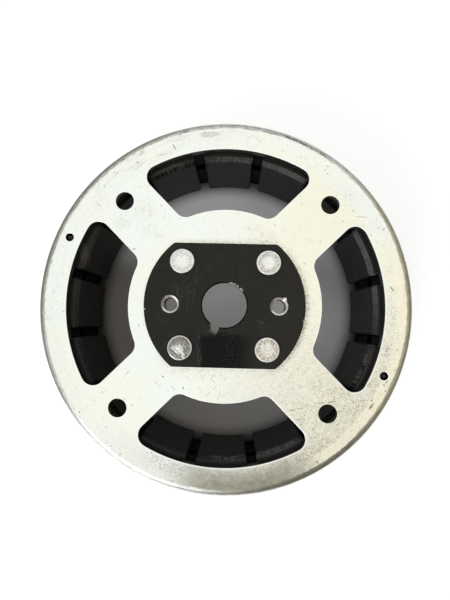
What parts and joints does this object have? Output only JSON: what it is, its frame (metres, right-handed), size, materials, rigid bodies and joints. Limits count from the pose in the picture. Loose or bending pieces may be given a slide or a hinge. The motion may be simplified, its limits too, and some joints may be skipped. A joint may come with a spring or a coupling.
{
  "type": "generator flywheel",
  "caption": "Round steel cup rotor with a windowed web, a riveted black hub plate with a keyed taper bore, and arc magnets held by two plastic cages inside its skirt.",
  "frame": {"origin": "centre of the skirt's open rim, on the plane the rim rests on", "axes": "+Z along the axis of rotation from the rim to the web; +X through one puller hole and one window; the keyway lies 24 degrees from -Y towards -X"},
  "size_m": [0.19, 0.19, 0.0684],
  "materials": {
    "zinc_steel": "zinc plated, matt",
    "black_steel": "black oxide, satin",
    "rivet_steel": "bright zinc",
    "ferrite": "ground ferrite",
    "black_nylon": "moulded"
  },
  "bodies": {
    "root": {"yoke_cup": "zinc_steel", "hub": "black_steel", "rivet_1": "rivet_steel", "rivet_2": "rivet_steel", "rivet_3": "rivet_steel", "rivet_4": "rivet_steel", "magnet_01": "ferrite", "magnet_02": "ferrite", "magnet_03": "ferrite", "magnet_04": "ferrite", "magnet_05": "ferrite", "magnet_06": "ferrite", "magnet_07": "ferrite", "magnet_08": "ferrite", "magnet_09": "ferrite", "magnet_10": "ferrite", "magnet_11": "ferrite", "magnet_12": "ferrite", "magnet_13": "ferrite", "magnet_14": "ferrite", "magnet_15": "ferrite", "magnet_16": "ferrite", "upper_magnet_cage": "black_nylon", "lower_magnet_cage": "black_nylon"}
  },
  "joints": []
}
